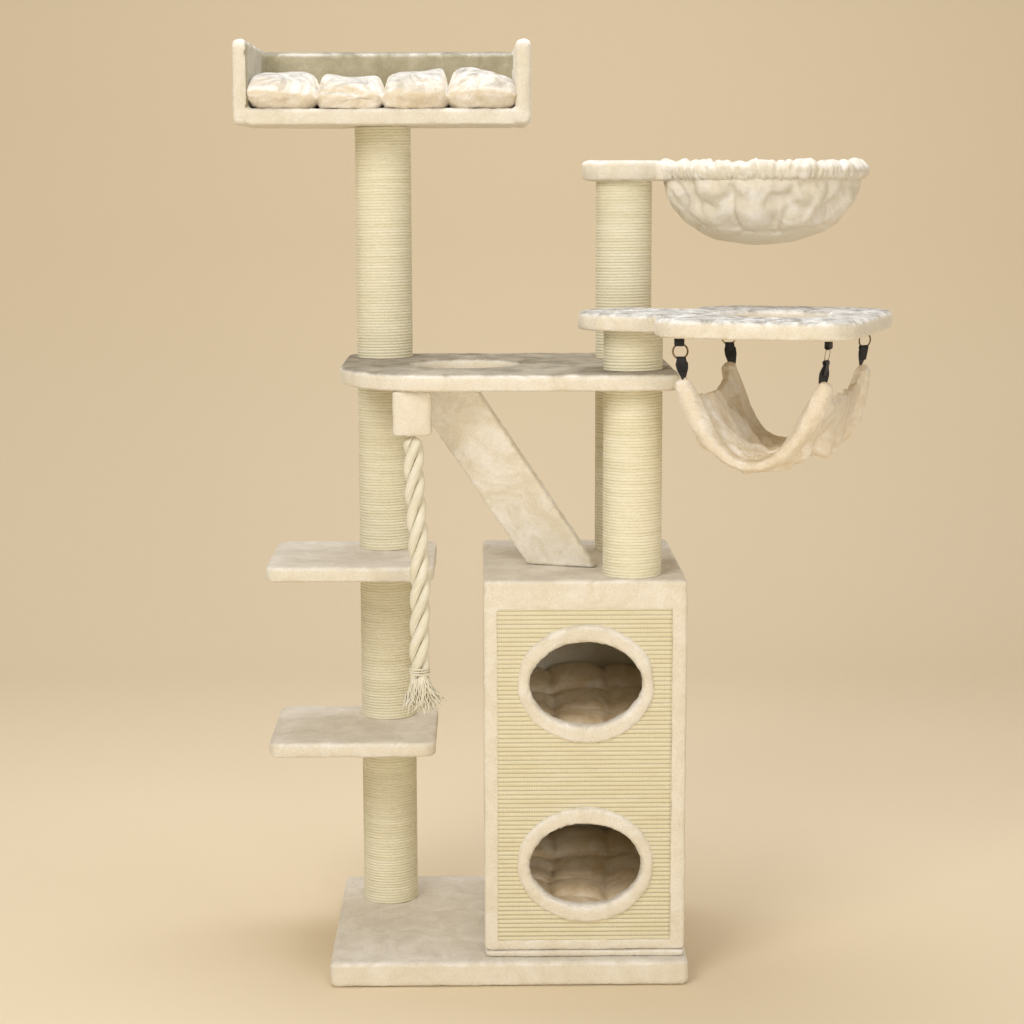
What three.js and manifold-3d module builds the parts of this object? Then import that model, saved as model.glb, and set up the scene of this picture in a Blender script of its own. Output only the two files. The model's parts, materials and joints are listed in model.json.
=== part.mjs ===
// Cat tree: a plush-covered base, a two-storey cabin, sisal posts, steps, lookout bed,
// hanging basket, swinging hammock and a play rope. Millimetres, +Z up, the front faces -Y,
// and the origin is the middle of the base's underside.
import * as THREE from "three";
import { mergeVertices } from "three/addons/utils/BufferGeometryUtils.js";
import Module from "manifold-3d";

const wasm = await Module();
wasm.setup();

// ---------- driving dimensions ----------
const GAP = 0.3; // air between two touching pieces
const POST_R = 60;
const POST_SIDES = 36;
const BOARD = 35; // plush-covered platform
const STEP_BOARD = 33;
const PLUSH_ROUND = 7; // how far pile rounds a board's edge
const STUD_R = 4.8;
const BORE_R = 5.4;
const STUD_DEPTH = 42; // how far a fastener goes into a post
const HEAD_R = 10;
const HEAD_H = 5;

const BASE = { w: 735, d: 574, h: 52 };
const POST = {
  left: [-259, 144.5],
  front: [252.5, -191],
  back: [252, 112],
};
const Z = {
  stepLow: 470, // every level is the top face of its board
  roof: 841,
  stepHigh: 844,
  mid: 1258,
  hammockTop: 1375,
  basketTop: 1674,
  bedFloor: 1780,
};

const HOUSE = { x0: -50, x1: 360.5, y0: -262, y1: 248, wall: 18, floor: 15, roof: 22, shelf: 15 };
const SHELF_TOP = 443;
const DOOR = { x: 156, zLow: 250, zHigh: 628, rimA: 139.5, rimB: 123, holeA: 114, holeB: 86 };
const DOOR_RIM = { proud: 8, deep: 34, round: 10 };
const MAT = { x0: -24, x1: 330.5, z0: 89, z1: 782, thick: 5.5, recess: 6 };

const STEP = { x0: -502, x1: -152, y0: -115, y1: 225, corner: 28 };
const MID = { x0: -343, x1: 340, y0: -296, y1: 243, noseR: 220, corner: 30 };
const MID_HOLE = { x: -86, y: -22, r: 111 };

const HP = { turn: -20, arm: 290, armR: 112, w: 400, d: 520, corner: 105, fillet: 14, holeR: 110 };
const SWING = { spanX: 143, spanY: 195, lean: 8.4, drop: 14 };
const RING = { r: 14, wire: 1.8 };
const WEB = { loopW: 16, strapW: 24, thick: 2.2, slot: 4 };
const HAMMOCK = { cornerZ: 1257, halfX: 133, halfY: 200, sag: 140, edgeSag: 28, waist: 10, thick: 14 };

const BED = { shift: 6, w: 611, d: 346, wall: 32, floorH: 33, sideTop: 1920, backTop: 1910 };
const BASKET = { x: 543, y: 112, ringR: 224, holeR: 184, armR: 90, board: 42 };
const BOWL = { rim: 216, depth: 132, thick: 12 };

const RAMP = { footX: 111, footY: -101, topX: -136, topY: -200, halfW: 74.5, skew: -20.7, thick: 24 };
const CAP = { x: -190, y: -235, w: 78, d: 56, h: 91 };
const ROPE = { r: 21, sides: 12, end: 648, swing: 26 }; // swing: the steepest it hangs, in degrees
const TASSEL = { top: 17, bottom: 33, end: 554 };

// ---------- materials ----------
const finish = (color, roughness, metalness = 0) =>
  new THREE.MeshStandardMaterial({ color, roughness, metalness });
const PLUSH = () => finish("#e6dccb", 0.95);
const SISAL = () => finish("#e4dcb6", 0.9);
const SISAL_MAT = () => finish("#e6dba8", 0.9);
const WEBBING = () => finish("#15161a", 0.8);
const BRASS = () => finish("#8a7350", 0.35, 1);
const STEEL = () => finish("#a9abae", 0.35, 1);

// ---------- solids ----------
function toSolid(geometry) {
  const g = geometry.clone();
  g.deleteAttribute("normal");
  g.deleteAttribute("uv");
  const m = mergeVertices(g, 1e-3);
  return new wasm.Manifold(
    new wasm.Mesh({
      numProp: 3,
      vertProperties: new Float32Array(m.attributes.position.array),
      triVerts: new Uint32Array(m.index.array),
    }),
  );
}

function toGeometry(solid) {
  const m = solid.getMesh();
  const g = new THREE.BufferGeometry();
  g.setAttribute("position", new THREE.BufferAttribute(new Float32Array(m.vertProperties), 3));
  g.setIndex(new THREE.BufferAttribute(new Uint32Array(m.triVerts), 1));
  const flat = g.toNonIndexed();
  flat.computeVertexNormals();
  return flat;
}

const cut = (geometry, ...tools) =>
  toGeometry(tools.reduce((s, t) => s.subtract(toSolid(t)), toSolid(geometry)));
const join = (...parts) =>
  toGeometry(parts.map(toSolid).reduce((a, b) => a.add(b)));

// A cylinder standing on z0.
function pillar(x, y, r, z0, z1, sides = 16) {
  return new THREE.CylinderGeometry(r, r, z1 - z0, sides)
    .rotateX(Math.PI / 2)
    .translate(x, y, (z0 + z1) / 2);
}

function box(x0, x1, y0, y1, z0, z1) {
  return new THREE.BoxGeometry(x1 - x0, y1 - y0, z1 - z0)
    .translate((x0 + x1) / 2, (y0 + y1) / 2, (z0 + z1) / 2);
}

// A rectangle with its own radius at each corner: front left, front right, back right, back left.
function roundedRect(x0, y0, x1, y1, radii) {
  const [a, b, c, d] = Array.isArray(radii) ? radii : [radii, radii, radii, radii];
  const s = new THREE.Shape();
  s.moveTo(x0 + a, y0);
  s.lineTo(x1 - b, y0);
  s.absarc(x1 - b, y0 + b, b, -Math.PI / 2, 0, false);
  s.lineTo(x1, y1 - c);
  s.absarc(x1 - c, y1 - c, c, 0, Math.PI / 2, false);
  s.lineTo(x0 + d, y1);
  s.absarc(x0 + d, y1 - d, d, Math.PI / 2, Math.PI, false);
  s.lineTo(x0, y0 + a);
  s.absarc(x0 + a, y0 + a, a, Math.PI, 1.5 * Math.PI, false);
  return s;
}

function ovalPoints(cx, cy, a, b, n = 36) {
  return Array.from({ length: n }, (_, i) => {
    const t = (2 * Math.PI * i) / n;
    return new THREE.Vector2(cx + a * Math.cos(t), cy + b * Math.sin(t));
  });
}

// A board of the shape, lying on z = 0, with its edges rounded by the pile.
function slab(shape, thick, round = PLUSH_ROUND, curveSegments = 4) {
  return new THREE.ExtrudeGeometry(shape, {
    depth: thick - 2 * round,
    bevelEnabled: round > 0,
    bevelThickness: round,
    bevelSize: round,
    bevelOffset: -round,
    bevelSegments: 2,
    curveSegments,
  }).translate(0, 0, round);
}

// Stands a slab up: its outline's x and y become the two named world axes.
function stand(geometry, along, up, through) {
  return geometry.applyMatrix4(new THREE.Matrix4().makeBasis(along, up, through));
}
const X = new THREE.Vector3(1, 0, 0);
const Y = new THREE.Vector3(0, 1, 0);
const UP = new THREE.Vector3(0, 0, 1);
const FRONT = new THREE.Vector3(0, -1, 0);

// A closed soft sheet between two surfaces over the same u, v grid.
function sheetSolid(nu, nv, top, bottom) {
  const points = [];
  const index = [];
  for (const surface of [top, bottom])
    for (let j = 0; j <= nv; j++)
      for (let i = 0; i <= nu; i++) points.push(...surface(i / nu, j / nv));
  const layer = (nu + 1) * (nv + 1);
  const at = (i, j) => j * (nu + 1) + i;
  const quad = (a, b, c, d) => index.push(a, b, c, a, c, d);
  for (let j = 0; j < nv; j++)
    for (let i = 0; i < nu; i++) {
      quad(at(i, j), at(i + 1, j), at(i + 1, j + 1), at(i, j + 1));
      quad(layer + at(i, j), layer + at(i, j + 1), layer + at(i + 1, j + 1), layer + at(i + 1, j));
    }
  for (let i = 0; i < nu; i++) {
    quad(layer + at(i, 0), layer + at(i + 1, 0), at(i + 1, 0), at(i, 0));
    quad(layer + at(i + 1, nv), layer + at(i, nv), at(i, nv), at(i + 1, nv));
  }
  for (let j = 0; j < nv; j++) {
    quad(layer + at(0, j + 1), layer + at(0, j), at(0, j), at(0, j + 1));
    quad(layer + at(nu, j), layer + at(nu, j + 1), at(nu, j + 1), at(nu, j));
  }
  const g = new THREE.BufferGeometry();
  g.setAttribute("position", new THREE.Float32BufferAttribute(points, 3));
  g.setIndex(index);
  g.computeVertexNormals();
  return g;
}

const tree = new THREE.Group();
tree.name = "cat_tree";

function piece(name, geometry, material, parent = tree) {
  const mesh = new THREE.Mesh(geometry, material);
  mesh.name = name;
  parent.add(mesh);
  return mesh;
}

// ---------- base ----------
const [lx, ly] = POST.left;
piece(
  "base_board",
  cut(
    slab(roundedRect(-BASE.w / 2, -BASE.d / 2, BASE.w / 2, BASE.d / 2, 14), BASE.h, 6),
    pillar(lx, ly, BORE_R, -1, BASE.h + 1),
    pillar(lx, ly, HEAD_R + 1, -1, HEAD_H + 2, 24),
  ),
  PLUSH(),
);

// ---------- posts and the fasteners that join them ----------
// A wound post between two boards, with a blind bore at each end.
function post(name, [x, y], z0, z1) {
  const body = pillar(x, y, POST_R, z0 + GAP, z1 - GAP, POST_SIDES);
  const deep = Math.min(STUD_DEPTH + 2, (z1 - z0) / 2 - 6);
  piece(
    name,
    cut(
      body,
      pillar(x, y, BORE_R, z0 - 1, z0 + deep),
      pillar(x, y, BORE_R, z1 - deep, z1 + 1),
    ),
    SISAL(),
  );
}

// A double-ended stud through a board, or a bolt whose head is at headZ.
function stud(name, [x, y], z0, z1) {
  const half = Math.min(STUD_DEPTH, (Z.hammockTop - BOARD - Z.mid) / 2 - 8);
  piece(name, pillar(x, y, STUD_R, z0 - half, z1 + half, 12), STEEL());
}
function bolt(name, [x, y], headZ, tipZ) {
  const under = headZ < tipZ ? headZ + HEAD_H : headZ - HEAD_H;
  const head = pillar(x, y, HEAD_R, Math.min(headZ, under), Math.max(headZ, under), 6);
  const shank = pillar(x, y, STUD_R, Math.min(headZ, tipZ), Math.max(headZ, tipZ), 12);
  piece(name, join(head, shank), STEEL());
}

const stepUnder = (top) => top - STEP_BOARD;
const midUnder = Z.mid - BOARD;
const bedUnder = Z.bedFloor - BED.floorH;
const basketUnder = Z.basketTop - BASKET.board;
const hammockUnder = Z.hammockTop - BOARD;

post("post_left_1", POST.left, BASE.h, stepUnder(Z.stepLow));
post("post_left_2", POST.left, Z.stepLow, stepUnder(Z.stepHigh));
post("post_left_3", POST.left, Z.stepHigh, midUnder);
post("post_left_4", POST.left, Z.mid, bedUnder);
post("post_front_1", POST.front, Z.roof, midUnder);
post("post_front_2", POST.front, Z.mid, hammockUnder);
post("post_back_1", POST.back, Z.roof, midUnder);
post("post_back_2", POST.back, Z.mid, basketUnder);

const roofUnder = Z.roof - HOUSE.roof;
bolt("bolt_base", POST.left, 1.5, BASE.h + STUD_DEPTH);
stud("stud_step_low", POST.left, stepUnder(Z.stepLow), Z.stepLow);
stud("stud_step_high", POST.left, stepUnder(Z.stepHigh), Z.stepHigh);
stud("stud_mid_left", POST.left, midUnder, Z.mid);
bolt("bolt_bed", POST.left, Z.bedFloor - 1, bedUnder - STUD_DEPTH);
bolt("bolt_roof_front", POST.front, roofUnder - HEAD_H - GAP, Z.roof + STUD_DEPTH);
bolt("bolt_roof_back", POST.back, roofUnder - HEAD_H - GAP, Z.roof + STUD_DEPTH);
stud("stud_mid_front", POST.front, midUnder, Z.mid);
stud("stud_mid_back", POST.back, midUnder, Z.mid);
bolt("bolt_hammock", POST.front, Z.hammockTop - 2, hammockUnder - 30);
bolt("bolt_basket", POST.back, Z.basketTop - 2, basketUnder - STUD_DEPTH);

// ---------- cabin ----------
const houseFloorTop = BASE.h + GAP + HOUSE.floor;
const innerX0 = HOUSE.x0 + HOUSE.wall;
const innerX1 = HOUSE.x1 - HOUSE.wall;
const wallZ0 = houseFloorTop + GAP;
const wallZ1 = roofUnder - GAP;
const frontBack = HOUSE.y0 + HOUSE.wall; // inner face of the front panel
const backFront = HOUSE.y1 - HOUSE.wall; // inner face of the back panel
const houseRect = (inset) =>
  roundedRect(HOUSE.x0 + inset, HOUSE.y0 + inset, HOUSE.x1 - inset, HOUSE.y1 - inset, 8);

piece("house_floor", slab(houseRect(0), HOUSE.floor, 3).translate(0, 0, BASE.h + GAP), PLUSH());
piece(
  "house_shelf",
  slab(
    roundedRect(innerX0 + GAP, frontBack + GAP, innerX1 - GAP, backFront - GAP, 4),
    HOUSE.shelf, 2, 1,
  ).translate(0, 0, SHELF_TOP - HOUSE.shelf),
  PLUSH(),
);
piece(
  "house_roof",
  cut(
    slab(houseRect(0), HOUSE.roof, 5).translate(0, 0, roofUnder),
    pillar(...POST.front, BORE_R, roofUnder - 1, Z.roof + 1),
    pillar(...POST.back, BORE_R, roofUnder - 1, Z.roof + 1),
  ),
  PLUSH(),
);

// Side panels run from the front panel to the back edge, and the back panel fits between them.
const sideOutline = () =>
  roundedRect(frontBack + GAP, wallZ0, HOUSE.y1, wallZ1, [6, 8, 8, 6]);
for (const [name, x] of [["house_side_left", HOUSE.x0], ["house_side_right", innerX1]])
  piece(name, stand(slab(sideOutline(), HOUSE.wall, 4, 2), Y, UP, X).translate(x, 0, 0), PLUSH());
piece(
  "house_back",
  stand(slab(roundedRect(innerX0 + GAP, wallZ0, innerX1 - GAP, wallZ1, 6), HOUSE.wall, 3, 2), X, UP, FRONT)
    .translate(0, HOUSE.y1, 0),
  PLUSH(),
);

// An oval plug that cuts a doorway through the front.
function doorCutter(z, grow) {
  const shape = new THREE.Shape(ovalPoints(DOOR.x, z, DOOR.rimA + grow, DOOR.rimB + grow));
  return stand(slab(shape, 60, 0), X, UP, FRONT).translate(0, HOUSE.y0 + 40, 0);
}
const doors = [DOOR.zLow, DOOR.zHigh];
piece(
  "house_front",
  cut(
    stand(slab(roundedRect(HOUSE.x0, wallZ0, HOUSE.x1, wallZ1, 10), HOUSE.wall, 4, 2), X, UP, FRONT)
      .translate(0, frontBack, 0),
    box(MAT.x0 - GAP, MAT.x1 + GAP, HOUSE.y0 - 1, HOUSE.y0 + MAT.recess, MAT.z0 - GAP, MAT.z1 + GAP),
    ...doors.map((z) => doorCutter(z, GAP)),
  ),
  PLUSH(),
);
piece(
  "house_mat",
  cut(
    box(MAT.x0, MAT.x1, HOUSE.y0 + MAT.recess - GAP - MAT.thick, HOUSE.y0 + MAT.recess - GAP,
      MAT.z0, MAT.z1),
    ...doors.map((z) => doorCutter(z, 2 * GAP)),
  ),
  SISAL_MAT(),
);

// A rolled plush sleeve round a doorway.
function doorRim(z) {
  const ring = new THREE.Shape(ovalPoints(DOOR.x, z, DOOR.rimA, DOOR.rimB));
  ring.holes.push(new THREE.Path(ovalPoints(DOOR.x, z, DOOR.holeA, DOOR.holeB)));
  return stand(slab(ring, DOOR_RIM.deep, DOOR_RIM.round), X, UP, FRONT)
    .translate(0, HOUSE.y0 - DOOR_RIM.proud + DOOR_RIM.deep, 0);
}
piece("door_rim_low", doorRim(DOOR.zLow), PLUSH());
piece("door_rim_high", doorRim(DOOR.zHigh), PLUSH());

// A tufted cabin cushion, whose back rows climb the back panel.
function cabinCushion(floorZ) {
  const x0 = innerX0 + 8, x1 = innerX1 - 8, y0 = frontBack + 16, y1 = backFront - 6;
  const base = 62, puff = 14, climb = 42;
  const edge = (t) => Math.min(1, 9 * t, 9 * (1 - t));
  const top = (u, v) => {
    const lift = climb * THREE.MathUtils.smoothstep(v, 0.62, 0.95);
    const lobes = Math.abs(Math.sin(4 * Math.PI * u) * Math.sin(5 * Math.PI * v));
    const round = 0.35 + 0.65 * Math.min(edge(u), edge(v) + 0.3);
    return [x0 + (x1 - x0) * u, y0 + (y1 - y0) * v, floorZ + GAP + base * round + lift + puff * lobes];
  };
  const bottom = (u, v) => [x0 + (x1 - x0) * u, y0 + (y1 - y0) * v, floorZ + GAP];
  return sheetSolid(12, 15, top, bottom);
}
piece("cushion_low", cabinCushion(houseFloorTop), PLUSH());
piece("cushion_high", cabinCushion(SHELF_TOP), PLUSH());

// ---------- steps and platforms ----------
for (const [name, top] of [["step_low", Z.stepLow], ["step_high", Z.stepHigh]])
  piece(
    name,
    cut(
      slab(roundedRect(STEP.x0, STEP.y0, STEP.x1, STEP.y1, STEP.corner), STEP_BOARD)
        .translate(0, 0, stepUnder(top)),
      pillar(lx, ly, BORE_R, stepUnder(top) - 1, top + 1),
    ),
    PLUSH(),
  );

const midShape = roundedRect(MID.x0, MID.y0, MID.x1, MID.y1,
  [MID.noseR, MID.corner, MID.corner, MID.corner]);
midShape.holes.push(new THREE.Path(ovalPoints(MID_HOLE.x, MID_HOLE.y, MID_HOLE.r, MID_HOLE.r)));
piece(
  "platform_mid",
  cut(
    slab(midShape, BOARD).translate(0, 0, midUnder),
    ...Object.values(POST).map(([x, y]) => pillar(x, y, BORE_R, midUnder - 1, Z.mid + 1)),
  ),
  PLUSH(),
);

// ---------- ramp ----------
// A board whose ends are cut level: it stands on the cabin roof and is screwed under the platform.
function rampBoard() {
  const across = new THREE.Vector3(RAMP.halfW, 0, 0)
    .applyAxisAngle(UP, THREE.MathUtils.degToRad(RAMP.skew));
  const foot = new THREE.Vector3(RAMP.footX, RAMP.footY, Z.roof + GAP);
  const head = new THREE.Vector3(RAMP.topX, RAMP.topY, midUnder - GAP);
  const rise = head.clone().sub(foot);
  const normal = across.clone().cross(rise).normalize(); // out of the face seen from the front
  // A level step behind the front face that is as deep as the board is thick.
  const level = new THREE.Vector3(-across.y, across.x, 0).normalize();
  level.multiplyScalar(RAMP.thick / Math.abs(level.dot(normal)));
  const at = (end, side, back) =>
    end.clone().addScaledVector(across, side).addScaledVector(level, back).toArray();
  const centre = (u) => (u ? head : foot);
  return sheetSolid(1, 1,
    (u, v) => at(centre(v), 2 * u - 1, 0),
    (u, v) => at(centre(v), 2 * u - 1, 1));
}
piece("ramp_board", rampBoard(), PLUSH());

// ---------- lookout bed ----------
const bedX0 = lx + BED.shift - BED.w / 2, bedX1 = bedX0 + BED.w;
const bedY0 = ly - BED.d / 2, bedY1 = ly + BED.d / 2;
piece(
  "bed_floor",
  cut(
    slab(roundedRect(bedX0 + BED.wall + GAP, bedY0, bedX1 - BED.wall - GAP, bedY1, 7), BED.floorH, 4, 2)
      .translate(0, 0, bedUnder),
    pillar(lx, ly, BORE_R, bedUnder - 1, Z.bedFloor + 1),
    pillar(lx, ly, HEAD_R + 1, Z.bedFloor - 1 - HEAD_H - GAP, Z.bedFloor + 1, 24),
  ),
  PLUSH(),
);
const bedSide = () => roundedRect(bedY0, bedUnder, bedY1, BED.sideTop, 16);
for (const [name, x] of [["bed_side_left", bedX0], ["bed_side_right", bedX1 - BED.wall]])
  piece(name, stand(slab(bedSide(), BED.wall, 11), Y, UP, X).translate(x, 0, 0), PLUSH());
piece(
  "bed_back",
  stand(
    slab(
      roundedRect(bedX0 + BED.wall + GAP, Z.bedFloor + GAP, bedX1 - BED.wall - GAP, BED.backTop, 12),
      BED.wall, 9, 2,
    ), X, UP, FRONT,
  ).translate(0, bedY1, 0),
  PLUSH(),
);

// A long cushion of four puffs.
function bedCushion() {
  const x0 = bedX0 + BED.wall + 5, x1 = bedX1 - BED.wall - 5;
  const y0 = bedY0 + 6, y1 = bedY1 - BED.wall - 6;
  const high = 78, puffs = 4;
  const level = Z.bedFloor + GAP;
  const side = (v) => Math.sqrt(Math.max(0, 1 - Math.abs(2 * v - 1) ** 3));
  const lobe = (u) => Math.abs(Math.sin(puffs * Math.PI * u)) ** 0.4;
  const spot = (u, v) => [x0 + (x1 - x0) * u, y0 + (y1 - y0) * v];
  return sheetSolid(32, 8,
    (u, v) => [...spot(u, v), level + 14 + (high - 14) * (0.25 + 0.75 * lobe(u)) * (0.2 + 0.8 * side(v))],
    (u, v) => [...spot(u, v), level]);
}
piece("bed_cushion", bedCushion(), PLUSH());

// ---------- basket ----------
const ringOuter = new THREE.Shape(ovalPoints(BASKET.x, BASKET.y, BASKET.ringR, BASKET.ringR, 44));
const armDisc = new THREE.Shape(ovalPoints(...POST.back, BASKET.armR, BASKET.armR, 28));
const neckHalf = 60;
piece(
  "basket_ring",
  cut(
    join(
      slab(ringOuter, BASKET.board, 12).translate(0, 0, basketUnder),
      slab(armDisc, BASKET.board, 10).translate(0, 0, basketUnder),
      box(POST.back[0], BASKET.x - BASKET.holeR - 10, BASKET.y - neckHalf, BASKET.y + neckHalf,
        basketUnder + 1, Z.basketTop - 1),
    ),
    pillar(BASKET.x, BASKET.y, BASKET.holeR, basketUnder - 5, Z.basketTop + 5, 44),
    pillar(...POST.back, BORE_R, basketUnder - 1, Z.basketTop + 1),
    pillar(...POST.back, HEAD_R + 1, Z.basketTop - 2 - HEAD_H - GAP, Z.basketTop + 1, 24),
  ),
  PLUSH(),
);

// The fabric bowl hangs from the ring's underside.
function bowl() {
  const steps = 9;
  const outline = [];
  const at = (r, d, t) => new THREE.Vector2(r * Math.cos(t), -d * Math.sin(t) ** 0.8);
  for (let i = 0; i <= steps; i++)
    outline.push(at(BOWL.rim - BOWL.thick, BOWL.depth - BOWL.thick, (i / steps) * Math.PI / 2));
  for (let i = steps; i >= 0; i--)
    outline.push(at(BOWL.rim, BOWL.depth, (i / steps) * Math.PI / 2));
  outline[steps].x = 0;
  outline[steps + 1].x = 0;
  outline.push(outline[0].clone());
  return new THREE.LatheGeometry(outline, 36)
    .rotateX(Math.PI / 2)
    .translate(BASKET.x, BASKET.y, basketUnder - GAP);
}
piece("basket_bowl", bowl(), PLUSH());

// ---------- play rope ----------
const capZ0 = midUnder - GAP - CAP.h;
piece(
  "rope_cap",
  slab(
    roundedRect(CAP.x - CAP.w / 2, CAP.y - CAP.d / 2, CAP.x + CAP.w / 2, CAP.y + CAP.d / 2, 10),
    CAP.h, 7, 2,
  ).translate(0, 0, capZ0),
  PLUSH(),
);

// The rope's route to the tie above the tassel. Its top is a blunt cone whose point is the pivot at
// the cap's underside, so that it can swing without touching the cap.
const pivotZ = capZ0 - GAP;
const coneH = ROPE.r * Math.tan(THREE.MathUtils.degToRad(ROPE.swing));
const ropeRoute = [
  [-188, -235, pivotZ - coneH], [-188, -235, 1095], [-187.5, -235, 1055], [-186, -235, 1015],
  [-184, -235, 975], [-181.5, -235, 935], [-179.5, -235, 895], [-178, -235, 855],
  [-177.5, -235, 815], [-178, -235, 775], [-179, -235, 735], [-179.9, -235, 695],
  [-180, -235, ROPE.end],
].map((p) => new THREE.Vector3(...p));
const ropeSection = new THREE.Shape(ovalPoints(0, 0, ROPE.r, ROPE.r, ROPE.sides));
const ropeTop = new THREE.LatheGeometry(
  [[0, -1], [ROPE.r, -1], [ROPE.r, 0], [0, coneH]].map(([r, z]) => new THREE.Vector2(r, z)),
  2 * ROPE.sides,
).rotateX(Math.PI / 2).translate(...ropeRoute[0].toArray());
piece(
  "rope",
  join(
    new THREE.ExtrudeGeometry(ropeSection, {
      steps: 12, bevelEnabled: false, extrudePath: new THREE.CatmullRomCurve3(ropeRoute),
    }),
    ropeTop,
  ),
  SISAL(),
);
const tasselEnd = ropeRoute.at(-1);
piece(
  "rope_tassel",
  new THREE.LatheGeometry(
    [
      [0, TASSEL.end], [TASSEL.bottom, TASSEL.end], [TASSEL.bottom - 4, TASSEL.end + 26],
      [TASSEL.top, TASSEL.end + 58], [TASSEL.top, ROPE.end - 2], [0, ROPE.end - 2],
    ].map(([r, z]) => new THREE.Vector2(r, z)),
    20,
  ).rotateX(Math.PI / 2).translate(tasselEnd.x, tasselEnd.y, 0),
  SISAL(),
);

// ---------- hammock platform ----------
// Everything of the hammock is laid out in a frame turned about the front post: local x runs
// along the arm.
const hammockFrame = new THREE.Group();
hammockFrame.position.set(...POST.front, 0);
hammockFrame.rotation.z = THREE.MathUtils.degToRad(HP.turn);
tree.add(hammockFrame);

function hammockPlatformShape() {
  const { arm, armR, w, d, corner, fillet } = HP;
  const x0 = arm - w / 2, x1 = arm + w / 2, y = d / 2;
  const s = new THREE.Shape();
  s.absarc(0, 0, armR, Math.PI / 2, 1.5 * Math.PI, false);
  s.lineTo(x0 - fillet, -armR);
  s.absarc(x0 - fillet, -armR - fillet, fillet, Math.PI / 2, 0, true);
  s.lineTo(x0, -y + corner);
  s.absarc(x0 + corner, -y + corner, corner, Math.PI, 1.5 * Math.PI, false);
  s.absarc(x1 - corner, -y + corner, corner, -Math.PI / 2, 0, false);
  s.absarc(x1 - corner, y - corner, corner, 0, Math.PI / 2, false);
  s.absarc(x0 + corner, y - corner, corner, Math.PI / 2, Math.PI, false);
  s.lineTo(x0, armR + fillet);
  s.absarc(x0 - fillet, armR + fillet, fillet, 0, -Math.PI / 2, true);
  s.holes.push(new THREE.Path(ovalPoints(arm, 0, HP.holeR, HP.holeR)));
  return s;
}
piece(
  "hammock_platform",
  cut(
    slab(hammockPlatformShape(), BOARD).translate(0, 0, hammockUnder),
    pillar(0, 0, BORE_R, hammockUnder - 1, Z.hammockTop + 1),
    pillar(0, 0, HEAD_R + 1, Z.hammockTop - 2 - HEAD_H - GAP, Z.hammockTop + 1, 24),
  ),
  PLUSH(),
  hammockFrame,
);

// ---------- hammock straps ----------
// A closed webbing loop, wide along x, whose slot spans z0..z1.
function webLoop(width, z0, z1) {
  const outer = WEB.slot + WEB.thick;
  const s = roundedRect(-outer, z0 - WEB.thick, outer, z1 + WEB.thick, 3);
  s.holes.push(new THREE.Path(roundedRect(-WEB.slot, z0, WEB.slot, z1, 1.5).getPoints(2)));
  return stand(slab(s, width, 0, 2), Y, UP, X).translate(-width / 2, 0, 0);
}
const pinZ = hammockUnder - SWING.drop; // the ring's top wire, on which everything swings
const slotTop = SWING.drop - GAP - WEB.thick;
const wireDrop = RING.r - Math.sqrt((RING.r - RING.wire) ** 2 - (WEB.loopW / 2) ** 2);
const leanDrop = (WEB.loopW / 2) * Math.tan(THREE.MathUtils.degToRad(SWING.lean));
const slotLow = -wireDrop - leanDrop - 4 * GAP;
const ringBottom = -2 * RING.r;
const tailEnd = -(pinZ - HAMMOCK.cornerZ) + 2;

function strapWeb() {
  const loop = webLoop(WEB.loopW, ringBottom - RING.wire - 6, ringBottom + wireDrop + GAP);
  const tailTop = ringBottom - RING.wire - 6 - WEB.thick / 2;
  const tail = box(-WEB.strapW / 2, WEB.strapW / 2, -1.5, 1.5, tailEnd, tailTop);
  return join(loop, tail);
}

for (const [tag, sx, sy] of [["fl", -1, -1], ["fr", 1, -1], ["bl", -1, 1], ["br", 1, 1]]) {
  const corner = new THREE.Group();
  corner.position.set(HP.arm + sx * SWING.spanX, sy * SWING.spanY, pinZ);
  hammockFrame.add(corner);
  piece("loop_" + tag, webLoop(WEB.loopW, slotLow, slotTop), WEBBING(), corner);
  const hanging = new THREE.Group();
  hanging.rotation.y = THREE.MathUtils.degToRad(sx * SWING.lean);
  corner.add(hanging);
  piece(
    "ring_" + tag,
    new THREE.TorusGeometry(RING.r, RING.wire, 6, 20).rotateX(Math.PI / 2).translate(0, 0, -RING.r),
    BRASS(),
    hanging,
  );
  piece("strap_" + tag, strapWeb(), WEBBING(), hanging);
}

// ---------- hammock ----------
// A padded cloth held by its corners: a trough along local y, a little deeper in the middle,
// shallow and pointed at its front hem, fuller and bulging to the right at its back hem.
function hammockPoint(u, v) {
  const p = 2 * u - 1, q = 2 * v - 1;
  const mid = 1 - q * q;
  const fullness = THREE.MathUtils.lerp(2, 3.2, v);
  const bulge = THREE.MathUtils.lerp(0, p > 0 ? 26 : 8, v) * Math.sin(Math.PI * Math.abs(p) ** 1.5);
  const x = HP.arm + p * (HAMMOCK.halfX - HAMMOCK.waist * mid) + Math.sign(p) * bulge;
  const z = HAMMOCK.cornerZ - HAMMOCK.edgeSag * mid * p * p
    - (HAMMOCK.sag + HAMMOCK.waist * mid) * (1 - Math.abs(p) ** fullness);
  return [x, q * HAMMOCK.halfY, z];
}
// Thickness is laid square to the trough's section.
function hammockSolid() {
  const outer = (u, v) => {
    const e = 1e-3;
    const a = hammockPoint(Math.max(0, u - e), v), b = hammockPoint(Math.min(1, u + e), v);
    const t = new THREE.Vector3(b[0] - a[0], 0, b[2] - a[2]).normalize();
    const at = hammockPoint(u, v);
    return [at[0] + t.z * HAMMOCK.thick, at[1], at[2] - t.x * HAMMOCK.thick];
  };
  return sheetSolid(18, 8, hammockPoint, outer);
}
piece("hammock_sheet", hammockSolid(), PLUSH(), hammockFrame);

export default tree;
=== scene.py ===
import json
import math

import bmesh
import bpy
import numpy as np
from mathutils import Matrix, Vector, noise


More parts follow.
